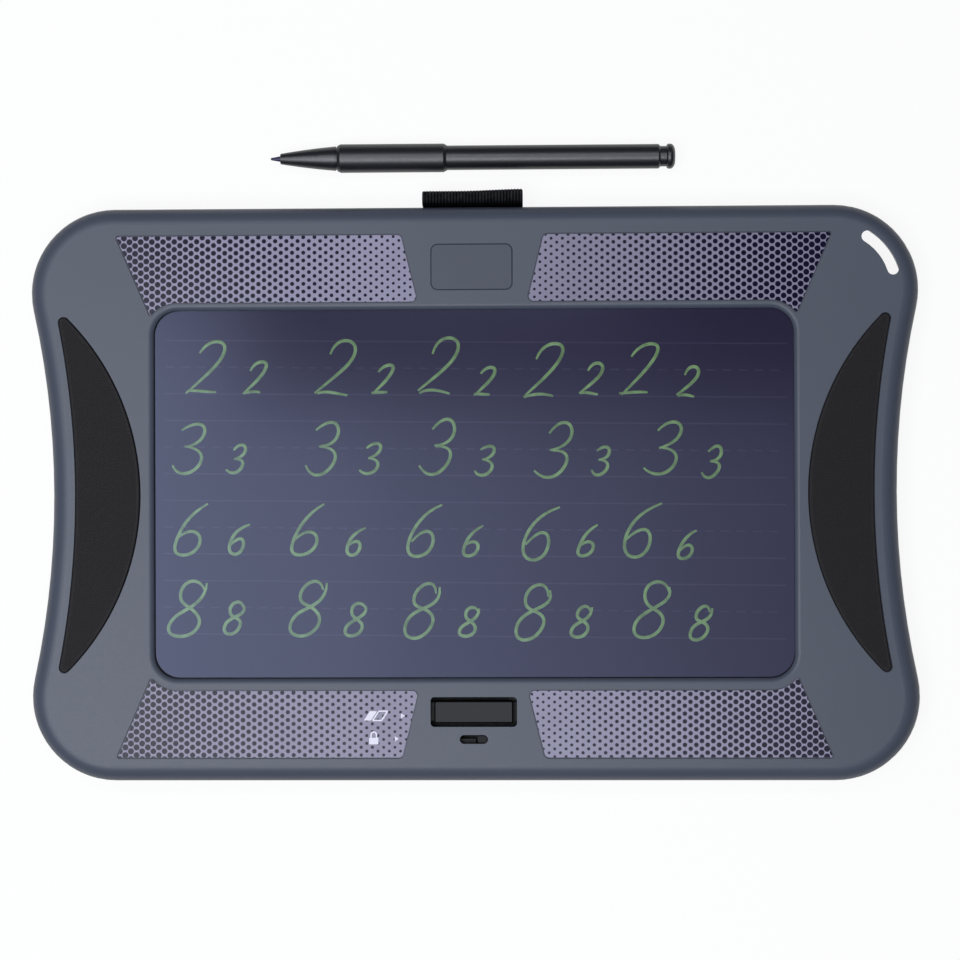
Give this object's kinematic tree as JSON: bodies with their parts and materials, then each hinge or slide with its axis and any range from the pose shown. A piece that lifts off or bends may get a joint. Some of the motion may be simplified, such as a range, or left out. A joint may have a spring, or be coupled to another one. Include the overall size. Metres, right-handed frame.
{
  "type": "lcd writing tablet",
  "caption": "Flat LCD writing tablet with bowed-in sides, rubber grip pads, dotted inlays, erase button, lock slider, lanyard slot, elastic stylus loop and a stylus lying beside it.",
  "frame": {"origin": "middle of the flat back, on the surface that the tablet lies on", "axes": "+X along the long side to the right of the screen, +Y towards the edge with the stylus loop, +Z out of the screen"},
  "size_m": [0.26, 0.1875, 0.0145],
  "materials": {
    "housing": "moulded, fine matt texture",
    "steel": "bright plated",
    "film": "satin writing surface",
    "gasket": "foam",
    "stiffener": "plain sheet",
    "flex": "polyimide film",
    "component": "moulded",
    "board": "black solder mask",
    "key": "moulded, fine matt texture",
    "contact": "rolled sheet",
    "grip": "finely knurled",
    "inlay": "printed with a dot pattern",
    "tape": "ribbed elastic",
    "pen": "satin",
    "pen_sleeve": "satin"
  },
  "bodies": {
    "tablet": {"front_bezel": "housing", "rear_cover": "housing", "housing_screws": "steel", "battery_door": "housing", "battery_door_screw": "steel", "writing_film": "film", "film_gasket": "gasket", "film_stiffener": "stiffener", "flex_tail": "flex", "flex_connector": "component", "circuit_board": "board", "board_screws": "steel", "driver_chip": "component", "boost_inductor": "component", "board_capacitors": "component", "switch_body": "component", "coin_cell": "steel", "contact_positive": "contact", "contact_negative": "contact", "left_grip": "grip", "right_grip": "grip", "inlay_top_left": "inlay", "inlay_top_right": "inlay", "inlay_bottom_left": "inlay", "inlay_bottom_right": "inlay", "stylus_loop": "tape", "loop_anchor": "steel"},
    "erase_key": {"erase_button": "key", "switch_plunger": "component"},
    "lock_key": {"lock_slider": "key", "lock_wiper": "contact"},
    "stylus": {"stylus_nib": "pen", "stylus_cone": "pen", "stylus_sleeve": "pen_sleeve", "stylus_barrel": "pen", "stylus_plug": "pen"}
  },
  "joints": [
    {"name": "erase_press", "type": "slide", "parent": "tablet", "child": "erase_key", "axis": [0, 0, -1], "range_m": [0, 0.0006], "stiffness_N_per_m": 400},
    {"name": "lock_slide", "type": "slide", "parent": "tablet", "child": "lock_key", "axis": [-1, 0, 0], "range_m": [0, 0.0048]},
    {"name": "stylus_lift", "type": "slide", "parent": "tablet", "child": "stylus", "axis": [0, 0, 1], "range_m": [0, 0.06]}
  ]
}
